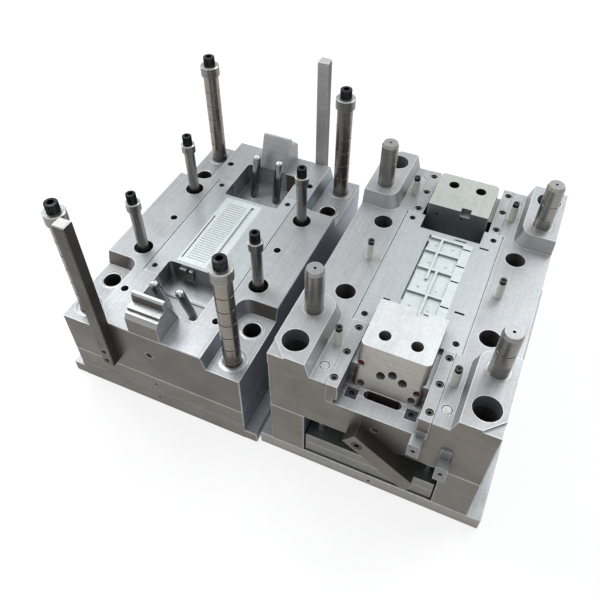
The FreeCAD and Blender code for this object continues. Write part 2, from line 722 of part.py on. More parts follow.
# The plate is kept as touching blocks: two side rails, the floor under the insert, and round each
# nose slot a slab below it, a bar in front of it, a bar behind it and a post at each end of it
slot_skin = 1.0
left_rail = block(-1, gib_x0, -1, length + 1, 0, b_pad + 1)
insert_floor = block(gib_x0, gib_x1, gib_end, length - gib_end, 0, b_pad)
plate_blocks = [left_rail, mirror_x(left_rail), insert_floor]
bar_front = slot_y0 + slot_skin
bar_back = slot_y1 - slot_skin
for y0, y1, z0, z1 in [(-1, gib_end, 0, slot_floor), (-1, bar_front, slot_floor, b_pad),
                       (bar_front, bar_back, slot_floor, b_pad), (bar_back, gib_end, slot_floor, b_pad)]:
    piece = block(gib_x0, gib_x1, y0, y1, z0, z1)
    plate_blocks += [piece, mirror_y(piece)]
save("b_plate", [b_plate.common(piece) for piece in plate_blocks], place_b)

# Moving-half insert frame with a slider pocket at each end, and the ribbed core
slider_room_x0 = middle_x - slider_half - seat_gap
slider_room_x1 = middle_x + slider_half + seat_gap
slider_room_y = slider_back_top + seat_gap
slider_room_z = ledge_z - seat_gap
core_x0 = width - core_high_x
core_x1 = width - core_low_x
core_middle_x = (core_x0 + core_x1) / 2
slider_room = block(slider_room_x0, slider_room_x1, 0, slider_room_y, slider_room_z, b_top + 1)
b_frame = insert_frame(b_top, core_x0, core_x1, [slider_room, mirror_y(slider_room)])
small_slots = [block(core_x0 - 26, core_x0 - 14, core_y0 + 12, core_y0 + 15, b_top - 5, b_top + 1),
               block(core_x1 + 10, core_x1 + 26, core_y0 + 30, core_y0 + 34, b_top - 8, b_top + 1),
               block(core_x1 + 11, core_x1 + 27, core_y1, core_y1 + 4, b_top - 8, b_top + 1),
               block(core_x1 - 33, core_x1 - 13, core_y1 + 3, core_y1 + 6, b_top - 5, b_top + 1)]
for slot in small_slots:
    b_frame = b_frame.cut(slot)
rails = block(slider_room_x0, slider_room_x1, 0, length, 0, b_pad)
frame_middle = b_frame.common(rails)
frame_floor = block(0, width, 0, length, 0, slider_room_z)
frame_parts = [b_frame.cut(rails), frame_middle.common(frame_floor), frame_middle.cut(frame_floor)]
save("b_insert_frame", frame_parts, place_b)
save("insert_screws_b", insert_screws(b_top), place_b)
wall = 5.0
lip = 3.0
rib_shares = [0.25, 0.56, 0.79]
slit_places = [(core_middle_x + 31, 0.93), (core_middle_x + 31, 0.7), (core_middle_x + 31, 0.5),
               (core_middle_x + 31, 0.18), (core_middle_x + 12, 0.05)]
slit_half_x = 7.0
slit_half_y = 1.6
b_core = block(core_x0, core_x1, core_y0, core_y1, b_top - insert_depth, core_floor)
ribs = [block(core_x0 + lip, core_x1, core_y0, core_y0 + wall, core_floor, b_top),
        block(core_x0 + lip, core_x1, core_y1 - wall, core_y1, core_floor, b_top),
        block(core_x1 - 3 * wall, core_x1, core_y0, core_y1, core_floor, b_top),
        block(core_middle_x - 4, core_middle_x, core_y0, core_y0 + 0.6 * core_length, core_floor, b_top),
        block(core_middle_x - 16, core_middle_x - 12, core_y0 + 0.44 * core_length, core_y1,
              core_floor, b_top)]
for share in rib_shares:
    rib_y = core_y0 + share * core_length
    ribs.append(block(core_x0 + lip, core_x1, rib_y, rib_y + wall, core_floor, b_top))
for rib in ribs:
    b_core = b_core.fuse(rib)
b_core = b_core.removeSplitter()
b_core = b_core.cut(block(core_x0 - 1, core_x0 + lip, core_y0 + 0.14 * core_length,
                          core_y1 - 0.07 * core_length, b_top - 12, b_top + 1))
for x, share in slit_places:
    slit_y = core_y0 + share * core_length
    b_core = b_core.cut(block(x - slit_half_x, x + slit_half_x, slit_y - slit_half_y, slit_y + slit_half_y,
                              core_floor - 6, b_top + 1))
for x, y in eject_centres:
    b_core = b_core.cut(rod(x, y, b_top - insert_depth - 1, b_top + 1, eject_radius + running_gap))
save("b_core", b_core, place_b)

# Guide pillars with oil grooves and a bevelled tip
pillar_grooves = [297.0, 328.0]
pillar_bevel = 6.0
pillar_centre_hole = 2.5
pillars = []
for x, y in pillar_centres:
    pillar = rod(x, y, b_pad, pillar_tip - pillar_bevel, pin_radius)
    pillar = pillar.fuse(rod(x, y, pillar_base, b_pad, pillar_fit_radius))
    pillar = pillar.fuse(cone(x, y, pillar_tip - pillar_bevel, pillar_tip, pin_radius, pin_radius - 2.5))
    pillar = pillar.fuse(rod(x, y, pillar_base, pillar_base + pin_head_height, pin_head_radius))
    pillar = pillar.removeSplitter()
    for z in pillar_grooves:
        ring = rod(x, y, z, z + oil_groove, pin_radius + 1)
        pillar = pillar.cut(ring.cut(rod(x, y, z, z + oil_groove, pin_radius - oil_groove_depth)))
    pillars.append(pillar.cut(rod(x, y, pillar_tip - 14, pillar_tip + 1, pillar_centre_hole)))
save("guide_pillars", pillars, place_b)

# Resin pullers: a pale sleeve held by a dark cone screw
sleeve_high = 283.0
puller_bore = 4.0
puller_head = 5.6
puller_top = 290.0
sleeves = []
puller_screws = []
for x, y in puller_centres:
    sleeve = rod(x, y, sleeve_low, sleeve_high, sleeve_radius)
    sleeves.append(sleeve.cut(rod(x, y, 0, sleeve_high + 1, puller_bore)))
    puller_screws.append(socket_screw(x, y, puller_top, puller_head, puller_top - sleeve_high,
                                      puller_bore, sleeve_high - sleeve_low))
save("puller_sleeves", sleeves, place_b)
save("puller_screws", puller_screws, place_b)

# Gibs: stepped rails that hold down the feet of the sliders
gib = block(gib_x0, channel_x0, 0, gib_end, ledge_z, b_top)
gib = gib.cut(block(channel_x0 - foot_reach - seat_gap, channel_x0 + 1, -1, gib_end + 1,
                    ledge_z - 1, ledge_z + foot_height + seat_gap))
for y in gib_screw_ys:
    x = gib_x0 + gib_screw_inset
    gib = gib.cut(rod(x, y, ledge_z - 1, b_top + 1, gib_shank))
    gib = gib.cut(rod(x, y, b_top - gib_head_height - 2, b_top + 1, gib_head))
gibs = four(gib)
for name, shape in zip(["gib_front_left", "gib_front_right", "gib_back_left", "gib_back_right"], gibs):
    save(name, shape, place_b)
save("gib_screws", [socket_screw(x, y, b_top - 2, gib_head, gib_head_height, gib_shank, gib_screw_reach)
                    for x, y in gib_screw_centres], place_b)

# Sliders: raised head with two leaning holes, sloping face outside, feet under the gibs
head_x0 = middle_x - slider_half
head_x1 = middle_x + slider_half
slope_low_y = slider_front_top - (slider_height - ledge_z) * heel_slope
slider_end = gib_end - seat_gap
slider_profile = [(slope_low_y, ledge_z), (slider_front_top, slider_height),
                  (slider_back_top, slider_height), (slider_back_top, ledge_z)]
head_round = 8.0
head_rise = slider_height - ledge_z
face_holes = [(middle_x - 13, ledge_z + 0.42 * head_rise), (middle_x + 4, ledge_z + 0.52 * head_rise),
              (middle_x + 21, ledge_z + 0.42 * head_rise)]
face_bore = 7.0
face_bore_depth = 24.0
plug_places = [(middle_x - 46, ledge_z + 0.56 * head_rise), (middle_x + 45, ledge_z + 0.3 * head_rise)]
plug_radius = 5.5
plug_sunk = 2.5
plug_y1 = 80.0
foot_hole_x = 40.0
foot_hole_z = ledge_z + 7.5
foot_hole_radius = 6.0
foot_hole_depth = 22.0
foot_back = 10.0
web_back = 14.0
web_top = b_top - 8
end_notch_half = 9.0
end_notch_depth = 11.0
end_notch_x = middle_x + 14
end_holes = [(middle_x - 36, ledge_z + 0.7 * head_rise), (middle_x + 8, ledge_z + 0.75 * head_rise)]
end_hole_radius = 3.0


def face_y(z):
    return slider_front_top - (slider_height - z) * heel_slope


slider = profile_yz(slider_profile, head_x0, head_x1)
slope_edges = [e for e in slider.Edges if e.BoundBox.YMax < slider_front_top + 0.1
               and e.BoundBox.XLength < 0.1 and e.BoundBox.ZLength > 1]
slider = slider.makeFillet(head_round, slope_edges)
feet = block(channel_x0 - foot_reach, channel_x1 + foot_reach, slope_low_y + foot_back, slider_end, ledge_z,
             ledge_z + foot_height)
web = block(channel_x0 + seat_gap, channel_x1 - seat_gap, slope_low_y + web_back, slider_end,
            ledge_z, web_top)
slider = slider.fuse(feet).fuse(web).removeSplitter()
for x in finger_xs:
    slider = slider.cut(finger_rod(x, finger_y, slider_height, ledge_z - 5, slider_height + 5,
                                   finger_bore, -1))
for x, z in face_holes:
    slider = slider.cut(rod_y(x, z, 0, face_y(z) + face_bore_depth, face_bore))
for x, z in plug_places:
    slider = slider.cut(rod_y(x, z, 0, plug_y1, plug_radius))
for x in [middle_x - foot_hole_x, middle_x + foot_hole_x]:
    slider = slider.cut(rod_y(x, foot_hole_z, 0, slope_low_y + foot_hole_depth, foot_hole_radius))
slider = slider.cut(block(end_notch_x - end_notch_half, end_notch_x + end_notch_half,
                          slider_back_top - end_notch_depth, slider_back_top + 1,
                          slider_height - end_notch_depth, slider_height + 1))
for x, z in end_holes:
    slider = slider.cut(rod_y(x, z, slider_back_top - 10, slider_back_top + 1, end_hole_radius))
save("slider_front", slider, place_b)
back_slider = mirror_y(slider)
back_slider.translate(vec(0, slider_stroke, 0))
save("slider_back", back_slider, place_b)
plugs = []
for x, z in plug_places:
    plugs.append(rod_y(x, z, face_y(z) + plug_sunk, plug_y1, plug_radius))
save("slider_plugs_front", plugs, place_b)
back_plugs = []
for plug in plugs:
    moved_plug = mirror_y(plug)
    moved_plug.translate(vec(0, slider_stroke, 0))
    back_plugs.append(moved_plug)
save("slider_plugs_back", back_plugs, place_b)

# Square detent blocks let into the ledges
stop = block(middle_x - stop_x - stop_half, middle_x - stop_x + stop_half, stop_y - stop_half,
             stop_y + stop_half, ledge_z - stop_depth, ledge_z)
stop = stop.cut(rod(middle_x - stop_x, stop_y, ledge_z - 5, ledge_z + 1, stop_hole))
save("detent_blocks", four(stop), place_b)

# Latch bar on the front face, hanging from a shoulder bolt
latch_angle = math.radians(36.5)
latch_half = 15.0
latch_back = 18.0
latch_end_x = latch_x + 92
latch_thick = 25.0
latch_nose_z = 90.0
latch_cut_x = latch_x + 81
latch_head = 10.0
latch_head_depth = 10.0
along = (math.cos(latch_angle), -math.sin(latch_angle))
across = (math.sin(latch_angle), math.cos(latch_angle))
top_left = (latch_x - latch_back * along[0] + latch_half * across[0],
            latch_z - latch_back * along[1] + latch_half * across[1])
low_left = (top_left[0] - 2 * latch_half * across[0], top_left[1] - 2 * latch_half * across[1])
top_right = (latch_end_x, top_left[1] - (latch_end_x - top_left[0]) * math.tan(latch_angle))
low_right = (latch_cut_x, low_left[1] - (latch_cut_x - low_left[0]) * math.tan(latch_angle))
latch_front = -latch_thick - seat_gap
latch_outline = [top_left, top_right, (latch_end_x, latch_nose_z), low_right, low_left]
corners = [vec(x, latch_front, z) for x, z in latch_outline]
latch = Part.Face(Part.makePolygon(corners + corners[:1])).extrude(vec(0, latch_thick, 0))
front_edges = [e for e in latch.Edges if e.BoundBox.YLength < 0.001 and e.BoundBox.YMax < -latch_thick]
latch = latch.makeChamfer(1.0, front_edges)
latch = latch.cut(rod_y(latch_x, latch_z, latch_front - 1, 1, latch_bolt + running_gap))
latch = latch.cut(rod_y(latch_x, latch_z, latch_front - 1, latch_front + latch_head_depth + seat_gap,
                        latch_head + 0.5))
save("latch_bar", latch, place_b)
pivot = rod_y(latch_x, latch_z, latch_front + latch_head_depth, latch_bolt_depth, latch_bolt)
pivot = pivot.fuse(rod_y(latch_x, latch_z, latch_front, latch_front + latch_head_depth, latch_head))
pivot = pivot.removeSplitter()
socket = hexagon(0, 0, -1, 6, 5)
socket.rotate(vec(0, 0, 0), vec(1, 0, 0), -90)
socket.translate(vec(latch_x, latch_front, latch_z))
save("latch_pivot_bolt", pivot.cut(socket), place_b)

# Two small catch blocks on the front face, each with a thin tongue above it
upper_x0 = middle_x + 57.5
upper_low = 177.0
upper_high = ledge_z - seat_gap
upper_tongue_x0 = middle_x + 63
upper_tongue_high = 226.0
lower_x0 = width - 69.5
lower_low = 139.0
lower_high = 176.0
lower_tongue_high = 202.0
block_width = 18.0
block_depth = 18.0
tongue_width = 15.0
tongue_depth = 3.0
block_screw_head = 4.5
block_screw_height = 5.0
block_screw_shank = 2.5
upper_screw = (upper_x0 + block_width / 2, (upper_low + upper_high) / 2)
lower_screw = (lower_x0 + block_width / 2, (lower_low + lower_high) / 2 + 2)


def catch_block(x0, low, high, tongue_x0, tongue_high, screw):
    body = block(x0, x0 + block_width, -block_depth, 0, low, high)
    tongue = block(tongue_x0, tongue_x0 + tongue_width, -tongue_depth, 0, high, tongue_high)
    body = body.fuse(tongue).removeSplitter()
    x, z = screw
    body = body.cut(rod_y(x, z, -block_depth - 1, -block_depth + 1 + block_screw_height, block_screw_head))
    return body.cut(rod_y(x, z, -block_depth - 1, 1, block_screw_shank))


upper = catch_block(upper_x0, upper_low, upper_high, upper_tongue_x0, upper_tongue_high, upper_screw)
lower = catch_block(lower_x0, lower_low, lower_high, lower_x0, lower_tongue_high, lower_screw)
save("stop_block_upper", upper, place_b)
save("stop_block_lower", lower, place_b)
shank_length = block_depth - 1 - block_screw_height
save("front_block_screws", [socket_screw_y(x, z, -block_depth + 1, block_screw_head, block_screw_height,
                                           block_screw_shank, shank_length)
                            for x, z in [upper_screw, lower_screw]], place_b)
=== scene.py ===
import math

import bmesh
import bpy
from mathutils import Matrix, Vector


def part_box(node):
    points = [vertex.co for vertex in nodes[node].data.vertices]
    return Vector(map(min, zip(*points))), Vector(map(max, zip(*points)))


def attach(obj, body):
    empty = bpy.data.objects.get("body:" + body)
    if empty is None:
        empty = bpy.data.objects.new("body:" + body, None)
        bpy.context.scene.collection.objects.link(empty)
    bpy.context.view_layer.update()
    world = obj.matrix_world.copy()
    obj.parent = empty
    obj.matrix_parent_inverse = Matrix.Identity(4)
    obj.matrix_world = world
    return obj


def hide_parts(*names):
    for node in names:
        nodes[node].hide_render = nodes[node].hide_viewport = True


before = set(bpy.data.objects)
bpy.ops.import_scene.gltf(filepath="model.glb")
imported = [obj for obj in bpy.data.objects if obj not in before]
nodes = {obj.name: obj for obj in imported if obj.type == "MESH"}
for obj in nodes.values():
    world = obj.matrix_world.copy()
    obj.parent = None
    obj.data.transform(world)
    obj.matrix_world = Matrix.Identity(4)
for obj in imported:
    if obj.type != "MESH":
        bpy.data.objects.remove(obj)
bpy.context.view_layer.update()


# Moving half: clamp plate and the two risers
# Medium carbon steel plates: the flat faces are surface ground, the edges face milled.
# Wiped with rust oil, so tops look cloudy; the tops are painted pale and cool and the milled edges darker and
# warmer, as painted light and shade.
def colour(code):
    channels = [int(code[i:i + 2], 16) / 255 for i in (1, 3, 5)]
    return [c / 12.92 if c <= 0.04045 else ((c + 0.055) / 1.055) ** 2.4 for c in channels] + [1.0]


def add(tree, kind, links=None, **settings):
    node = tree.nodes.new(kind)
    for name, value in settings.items():
        setattr(node, name, value)
    for name, value in (links or {}).items():
        if isinstance(value, bpy.types.NodeSocket):
            tree.links.new(value, node.inputs[name])
        else:
            node.inputs[name].default_value = value
    return node


def per(millimetres):
    return 1000.0 / millimetres


def new_material(name):
    material = bpy.data.materials.new(name)
    material.use_nodes = True
    tree = material.node_tree
    return material, tree, tree.nodes["Principled BSDF"]


# Wheel marks of grinding are 0.2 mm apart; here they are 2 mm, so that they still show
ground = [(per(2.0), per(140), per(140)), (per(160), per(160), per(1.9))]


# Painted light and shade: the first colour is for faces that look up, the second for upright faces along Y and
# the third for upright faces along X, so one steel is painted lighter on top and darker on its sides as light
# falls on it, besides its ground and milled finish.
def steel(name, lit_top, side, cheek_lighting, rim_highlight_and_wear, grain=ground, metal=0.7, rough=0.4, cloud=0.16, line=0.1, grime_and_shade=0.5,
          highlight_and_wear_width=0.0013, stain=0.3, oil="#2e2a27"):
    material, tree, shader = new_material(name)
    place = add(tree, "ShaderNodeTexCoord", name="place")
    facing = add(tree, "ShaderNodeSeparateXYZ", {"Vector": place.outputs["Normal"]})
    up = add(tree, "ShaderNodeMapRange", {"Value": facing.outputs["Z"], "From Min": 0.35, "From Max": 0.8},
             name="up")
    sideways = add(tree, "ShaderNodeMath", {0: facing.outputs["X"]}, operation="ABSOLUTE")
    # Tool marks: one grain on faces that look up, another on upright ones
    along = add(tree, "ShaderNodeMapping", {"Vector": place.outputs["Object"], "Scale": grain[0]})
    level = add(tree, "ShaderNodeMapping", {"Vector": place.outputs["Object"], "Scale": grain[1]})
    top_lines = add(tree, "ShaderNodeTexNoise", {"Vector": along.outputs[0], "Scale": 1.0, "Detail": 2.0})
    side_lines = add(tree, "ShaderNodeTexNoise", {"Vector": level.outputs[0], "Scale": 1.0, "Detail": 2.0})
    lines = add(tree, "ShaderNodeMix", {"Factor": up.outputs[0], "A": side_lines.outputs["Fac"],
                                        "B": top_lines.outputs["Fac"]})
    # Smears a hand wide, blots and freckles of a few millimetres
    smear = add(tree, "ShaderNodeTexNoise", {"Vector": place.outputs["Object"], "Scale": per(90),
                                             "Detail": 4.0, "Roughness": 0.6, "Distortion": 0.8})
    blot = add(tree, "ShaderNodeTexNoise", {"Vector": place.outputs["Object"], "Scale": per(6),
                                            "Detail": 3.0})
    # Painted light and shade: each face takes its colour from the way it faces, lighter on top and darker on
    # the upright sides
    upright = add(tree, "ShaderNodeMix", {"Factor": sideways.outputs[0], "A": colour(side),
                                          "B": colour(cheek_lighting)}, data_type="RGBA", name="upright")
    base = add(tree, "ShaderNodeMix", {"Factor": up.outputs[0], "A": upright.outputs["Result"],
                                       "B": colour(lit_top)}, data_type="RGBA", name="base")
    brown = add(tree, "ShaderNodeMapRange", {"Value": smear.outputs["Fac"], "From Min": 0.52,
                                             "From Max": 0.75, "To Min": 0.0, "To Max": stain})
    stained = add(tree, "ShaderNodeMix", {"Factor": brown.outputs[0], "A": base.outputs["Result"],
                                          "B": colour("#6b6053")}, data_type="RGBA")
    tone = add(tree, "ShaderNodeMapRange", {"Value": smear.outputs["Fac"], "From Min": 0.3, "From Max": 0.7,
                                            "To Min": 1.0 - cloud, "To Max": 1.0 + cloud * 0.4})
    streak = add(tree, "ShaderNodeMapRange", {"Value": lines.outputs[0], "From Min": 0.3, "From Max": 0.7,
                                              "To Min": 1.0 - line, "To Max": 1.0 + line * 0.5})
    speck = add(tree, "ShaderNodeMapRange", {"Value": blot.outputs["Fac"], "From Min": 0.35, "From Max": 0.65,
                                             "To Min": 0.94, "To Max": 1.03})
    shade = add(tree, "ShaderNodeMath", {0: tone.outputs[0], 1: streak.outputs[0]}, operation="MULTIPLY")
    marks = add(tree, "ShaderNodeMath", {0: shade.outputs[0], 1: speck.outputs[0]}, operation="MULTIPLY",
                name="marks")
    toned = add(tree, "ShaderNodeVectorMath", {0: stained.outputs["Result"], "Scale": marks.outputs[0]},
                operation="SCALE", name="toned")
    # Painted shade and oil dirt: corners, holes and gaps found by ambient occlusion are darkened towards a
    # dark oil colour
    corner = add(tree, "ShaderNodeAmbientOcclusion", {"Distance": 0.03}, samples=6)
    shade_and_dirt = add(tree, "ShaderNodeMapRange", {"Value": corner.outputs["AO"], "From Min": 0.25, "From Max": 0.85,
                                            "To Min": grime_and_shade, "To Max": 0.0})
    oiled = add(tree, "ShaderNodeMix", {"Factor": shade_and_dirt.outputs[0], "A": toned.outputs[0],
                                        "B": colour(oil)}, data_type="RGBA")
    # Bright rims on every edge, found with the bevel normal: a painted highlight of the chamfers, partly also
    # edges broken with a stone and rubbed by handling
    bevel = add(tree, "ShaderNodeBevel", {"Radius": highlight_and_wear_width}, samples=4)
    shape = add(tree, "ShaderNodeNewGeometry")
    same = add(tree, "ShaderNodeVectorMath", {0: bevel.outputs[0], 1: shape.outputs["Normal"]},
               operation="DOT_PRODUCT")
    rubbed_and_highlit = add(tree, "ShaderNodeMapRange", {"Value": same.outputs["Value"], "From Min": 0.99,
                                              "From Max": 0.85, "To Min": 0.0, "To Max": 0.85}, name="rubbed_and_highlit")
    highlit_edges = add(tree, "ShaderNodeMix", {"Factor": rubbed_and_highlit.outputs[0], "A": oiled.outputs["Result"],
                                        "B": colour(rim_highlight_and_wear)}, data_type="RGBA", name="highlit_edges")
    gloss = add(tree, "ShaderNodeMapRange", {"Value": smear.outputs["Fac"], "From Min": 0.3, "From Max": 0.7,
                                             "To Min": rough + 0.07, "To Max": rough - 0.05})
    bump = add(tree, "ShaderNodeBump", {"Strength": 0.25, "Distance": 0.0001, "Height": lines.outputs[0]})
    tree.links.new(highlit_edges.outputs["Result"], shader.inputs["Base Color"])
    tree.links.new(gloss.outputs[0], shader.inputs["Roughness"])
    tree.links.new(bump.outputs[0], shader.inputs["Normal"])
    shader.inputs["Metallic"].default_value = metal
    return material


def dress(material, *names):
    for name in names:
        for slot in nodes[name].material_slots:
            slot.material = material


plate_steel = steel("ground plate steel", "#b4b8bb", "#78736c", "#8f949c", "#f0f2f3", highlight_and_wear_width=0.0016)
clamp_steel = steel("milled clamp plate steel", "#b0b4b6", "#9c9891", "#8d9095", "#f0f2f3", line=0.16,
                    highlight_and_wear_width=0.0018)
dress(clamp_steel, "b_clamp_plate")
dress(plate_steel, "b_riser_left", "b_riser_right")

# Moving half: rest buttons and the ejector set
# Two plates clamp the heads of the return and ejector pins; the set rests on round buttons.
# They stand in the shade of the mould, and their steel is painted darker for that shade as well as oily and
# little handled; the pins are ground bright.
set_steel = steel("oily ejector plate steel", "#868b8a", "#7d7c75", "#777873", "#dfe2df", grime_and_shade=0.7,
                  stain=0.5, highlight_and_wear_width=0.0018)
dress(set_steel, "ejector_base_plate", "ejector_retainer_plate", "rest_buttons")
# Turning and centreless grinding leave rings round the pin, far under a millimetre apart; drawn at 1.4 mm
turned = [(per(2.5), per(2.5), per(2.5)), (per(60), per(60), per(1.4))]
bright_pin_steel = steel("bright ground pin steel", "#c2c7c8", "#a9aba8", "#a2a4a5", "#f0f2f2", grain=turned,
                         metal=0.9, rough=0.24, cloud=0.1, line=0.08, grime_and_shade=0.5, stain=0.2)
dress(bright_pin_steel, "return_pins", "ejector_pins")

# Moving half: the thick plate with raised corners
# One block of plate steel: the pads are milled from the solid, with leaning walls that centre
# the two halves, and the slider channels and bores are cut into it.
pad_steel = steel("ground steel of the thick plate", "#b4b8bb", "#78736c", "#9297a0", "#f5f7f8", highlight_and_wear_width=0.0026,
                  grime_and_shade=0.5, oil="#57443b")
# No painted edge highlight or rubbed rim where two touching blocks of this plate meet in one smooth face
tree = pad_steel.node_tree
block_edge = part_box("gib_front_left")[0][0]
other_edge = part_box("gib_front_right")[1][0]
slab_top = 0.156
join_band = 0.002
spot = add(tree, "ShaderNodeSeparateXYZ", {"Vector": tree.nodes["place"].outputs["Object"]})
rim_highlight_and_wear = tree.nodes["rubbed_and_highlit"].outputs[0]
for axis, level in (("X", block_edge), ("X", other_edge), ("Z", slab_top)):
    clear = add(tree, "ShaderNodeMath", {0: spot.outputs[axis], 1: level, 2: join_band}, operation="COMPARE")
    kept = add(tree, "ShaderNodeMath", {0: 1.0, 1: clear.outputs[0]}, operation="SUBTRACT")
    rim_highlight_and_wear = add(tree, "ShaderNodeMath", {0: rim_highlight_and_wear, 1: kept.outputs[0]}, operation="MULTIPLY").outputs[0]
tree.links.new(rim_highlight_and_wear, tree.nodes["highlit_edges"].inputs["Factor"])
# Dark line of the joint between the plate and what is let into it: gibs and insert frame
seam_width = 0.0006
gib_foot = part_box("gib_front_left")[0][2]
at_left = add(tree, "ShaderNodeMath", {0: spot.outputs["X"], 1: block_edge, 2: seam_width},
              operation="COMPARE")
at_right = add(tree, "ShaderNodeMath", {0: spot.outputs["X"], 1: other_edge, 2: 1.6 * seam_width},
               operation="COMPARE")
at_joint = add(tree, "ShaderNodeMath", {0: at_left.outputs[0], 1: at_right.outputs[0]}, operation="MAXIMUM")
open_joint = add(tree, "ShaderNodeMath", {0: spot.outputs["Z"], 1: gib_foot}, operation="GREATER_THAN")
seam = add(tree, "ShaderNodeMath", {0: at_joint.outputs[0], 1: open_joint.outputs[0]}, operation="MULTIPLY")
jointed = add(tree, "ShaderNodeMix", {"Factor": seam.outputs[0], "A": tree.nodes["highlit_edges"].outputs["Result"],
                                      "B": colour("#47433f")}, data_type="RGBA")
tree.links.new(jointed.outputs["Result"], tree.nodes["Principled BSDF"].inputs["Base Color"])
# The walls of the pads above the plate's top guide the other half, so they are ground bright
front_side, back_side = [corner[1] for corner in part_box("b_plate")]
half_depth = (back_side - front_side) / 2
plate_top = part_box("gib_front_left")[1][2]
raised = add(tree, "ShaderNodeMath", {0: spot.outputs["Z"], 1: plate_top}, operation="GREATER_THAN")
inside = add(tree, "ShaderNodeMath", {0: spot.outputs["Y"], 1: front_side + half_depth,
                                      2: half_depth - 0.001}, operation="COMPARE")
guiding = add(tree, "ShaderNodeMath", {0: raised.outputs[0], 1: inside.outputs[0]}, operation="MULTIPLY")
walls = add(tree, "ShaderNodeMix", {"Factor": guiding.outputs[0], "A": tree.nodes["upright"].outputs["Result"],
                                    "B": colour("#a8aaac")}, data_type="RGBA")
tree.links.new(walls.outputs["Result"], tree.nodes["base"].inputs["A"])
dress(pad_steel, "b_plate")

# Moving half: insert frame and core
# Pre-hardened tool steel, ground and polished by hand, so brighter and bluer than the plate.
# The core is spark eroded, which leaves a fine even matt skin with a pale cyan cast.
insert_steel = steel("polished insert steel", "#bfc6c9", "#8b8d8c", "#84878b", "#eff2f3", metal=0.75,
                     rough=0.3, cloud=0.12, line=0.06, grime_and_shade=0.5, stain=0.12)
eroded = [(per(1.2), per(1.2), per(1.2)), (per(1.2), per(1.2), per(1.2))]
core_steel = steel("spark eroded core steel", "#d3dcdd", "#9aa3a3", "#939b9c", "#f4f7f7", grain=eroded,
                   metal=0.6, rough=0.42, cloud=0.1, line=0.07, grime_and_shade=0.3, highlight_and_wear_width=0.0005, stain=0.0)
# The frame of this half is kept as touching blocks, so its steel has no painted edge highlight or rubbed rim
# to show their joins
sharp_steel = steel("insert steel with sharp edges", "#bfc6c9", "#8b8d8c", "#84878b", "#eff2f3", metal=0.75,
                    rough=0.3, cloud=0.12, line=0.06, grime_and_shade=0.5, highlight_and_wear_width=0.0001, stain=0.12)
dress(sharp_steel, "b_insert_frame")
dress(core_steel, "b_core")

# Socket screws of both halves
# Alloy steel, heat treated and blackened, which gives a nearly black satin skin; the rim of the head is rubbed
# bright and also carries a painted highlight.
black_steel = steel("blackened screw steel", "#2b2c2f", "#18181a", "#18181a", "#a9abaf", grain=turned,
                    metal=0.6, rough=0.24, cloud=0.15, line=0.05, grime_and_shade=0.4, highlight_and_wear_width=0.001, stain=0.0)
dress(black_steel, "insert_screws_a", "insert_screws_b", "stripper_limit_screws", "pull_bar_screws",
      "latch_pivot_bolt", "front_block_screws", "puller_screws")
cap_steel = steel("blackened knurled screw steel", "#26272a", "#17171a", "#17171a", "#55565a", grain=turned,
                  metal=0.6, rough=0.22, cloud=0.15, line=0.05, grime_and_shade=0.3, highlight_and_wear_width=0.0001, stain=0.0)
oily_screw_steel = steel("oily screw steel", "#5b615c", "#3b3f3c", "#3b3f3c", "#9da19c", grain=turned,
                         metal=0.7, rough=0.3, grime_and_shade=0.7, highlight_and_wear_width=0.0007, stain=0.2)
dress(oily_screw_steel, "gib_screws")

# Moving half: guide pillars
# Case hardened and ground round bars with turned oil grooves; old oil gives them a brown cast.
pin_steel = steel("oiled guide pin steel", "#a7a59e", "#948e86", "#8d877f", "#d6d2ca", grain=turned, metal=0.9,
                  rough=0.22, cloud=0.14, line=0.2, grime_and_shade=0.75, highlight_and_wear_width=0.0009, stain=0.3, oil="#1d1a18")
pillar_steel = steel("ground guide pillar steel", "#a3a5a6", "#93908c", "#8b8985", "#d9dbdc", grain=turned,
                     metal=0.9, rough=0.3, cloud=0.22, line=0.12, grime_and_shade=0.7, highlight_and_wear_width=0.0012, stain=0.25)
dress(pillar_steel, "guide_pillars")

# Moving half: gibs, sliders and their detent blocks
# Hardened tool steel, ground all over. The gibs are screwed down beside each slider, and the
# dark square detent blocks hold the slider open.
slider_steel = steel("ground slider steel", "#dfe3e5", "#b9b5ae", "#8f8d8a", "#eef0f0", metal=0.6, rough=0.4,
                     cloud=0.14, line=0.1, grime_and_shade=0.6, stain=0.25)
dress(slider_steel, "slider_front")
# Painted shade: the back slider takes a darker copy of the slider steel, for the shade of its pocket
shaded_steel = steel("slider steel darkened as painted shade", "#c0c6c1", "#7f878b", "#8f8d8a", "#e9ecec", metal=0.6,
                     rough=0.36, cloud=0.2, line=0.1, grime_and_shade=0.55, stain=0.15)
dress(shaded_steel, "slider_back")
dress(plate_steel, "gib_front_left", "gib_front_right", "gib_back_left", "gib_back_right")
detent_steel = steel("blued detent steel", "#4b4e57", "#3d3f46", "#3d3f46", "#8e9199", metal=0.6, rough=0.35,
                     grime_and_shade=0.8, stain=0.1)
dress(detent_steel, "detent_blocks")

# Copper plugs that close the cooling holes of the sliders
# Soft red copper, driven in and faced off, dull from heat.
copper = steel("dull copper", "#7f4138", "#6e362e", "#6e362e", "#a9685a", metal=0.8, rough=0.45, cloud=0.2,
               line=0.05, grime_and_shade=0.5, stain=0.2)
dress(copper, "slider_plugs_front", "slider_plugs_back")

